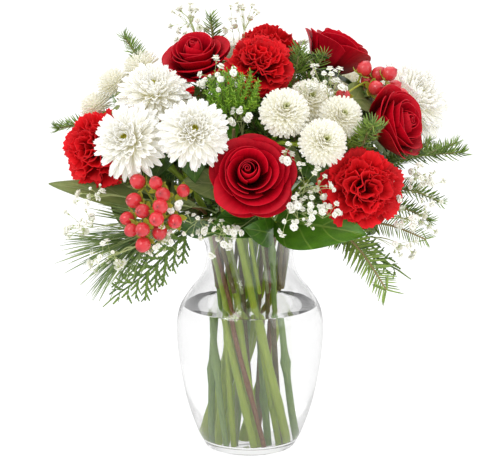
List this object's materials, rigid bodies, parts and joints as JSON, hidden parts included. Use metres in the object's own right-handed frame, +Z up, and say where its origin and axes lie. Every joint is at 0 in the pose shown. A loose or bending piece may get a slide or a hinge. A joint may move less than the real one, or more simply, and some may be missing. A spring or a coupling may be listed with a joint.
{
  "type": "bouquet in a glass vase",
  "caption": "Free-standing mixed bouquet of carnations, roses, chrysanthemums, berries and winter greens in a clear flared glass vase of water.",
  "frame": {"origin": "centre of the vase's flat foot, on the surface that it stands on", "axes": "+Z up along the vase's axis, -Y towards the bouquet's front, +X to the right seen from the front"},
  "size_m": [0.3816, 0.3052, 0.4056],
  "materials": {
    "glass": "clear blown glass, smooth, slightly green at the thick foot",
    "water": "clear still water",
    "rose_petal": "velvety crimson petals",
    "carnation_petal": "matt scarlet frilled petals",
    "daisy_petal": "matt white petals round a yellow-green eye",
    "button_petal": "matt cream petals",
    "stem": "waxy green stems",
    "blue_stem": "blue-green stems with a bloom of wax",
    "berry": "smooth coral-red berries",
    "breath": "tiny white papery flowers on pale stalks",
    "fir": "dark green needles, silvery below",
    "pine": "soft grey-green needles",
    "cedar": "matt scaly yellow-green foliage",
    "leaf": "waxy dark green leaves with pale ribs"
  },
  "bodies": {
    "root": {"berries_left": "berry", "berries_right": "berry", "breath_left": "breath", "breath_middle": "breath", "breath_right": "breath", "breath_top": "breath", "button_right_1": "button_petal", "button_right_2": "button_petal", "button_right_3": "button_petal", "button_right_4": "button_petal", "button_stem_back": "stem", "button_stem_left": "stem", "button_stem_right": "stem", "buttons_back": "button_petal", "buttons_left": "button_petal", "carnation_back": "carnation_petal", "carnation_back_stem": "blue_stem", "carnation_crown": "carnation_petal", "carnation_crown_stem": "blue_stem", "carnation_front": "carnation_petal", "carnation_front_stem": "blue_stem", "carnation_left": "carnation_petal", "carnation_left_stem": "blue_stem", "carnation_top": "carnation_petal", "carnation_top_stem": "blue_stem", "cedar_left": "cedar", "cedar_middle": "cedar", "cedar_right": "cedar", "daisy_back": "daisy_petal", "daisy_front": "daisy_petal", "daisy_front_left": "daisy_petal", "daisy_right": "daisy_petal", "daisy_stem_back": "stem", "daisy_stem_left": "stem", "daisy_stem_right": "stem", "daisy_upper_left": "daisy_petal", "fir_back": "fir", "fir_left": "fir", "fir_lower_right": "fir", "fir_middle": "fir", "fir_right": "fir", "fir_side": "fir", "fir_top": "fir", "glass_vase": "glass", "leaves_back": "leaf", "leaves_front": "leaf", "leaves_left": "leaf", "pine_left": "pine", "rose_back": "rose_petal", "rose_back_stem": "stem", "rose_front": "rose_petal", "rose_front_stem": "stem", "rose_right": "rose_petal", "rose_right_stem": "stem", "rose_top_left": "rose_petal", "rose_top_left_stem": "stem", "rose_top_right": "rose_petal", "rose_top_right_stem": "stem", "water": "water"}
  },
  "joints": []
}
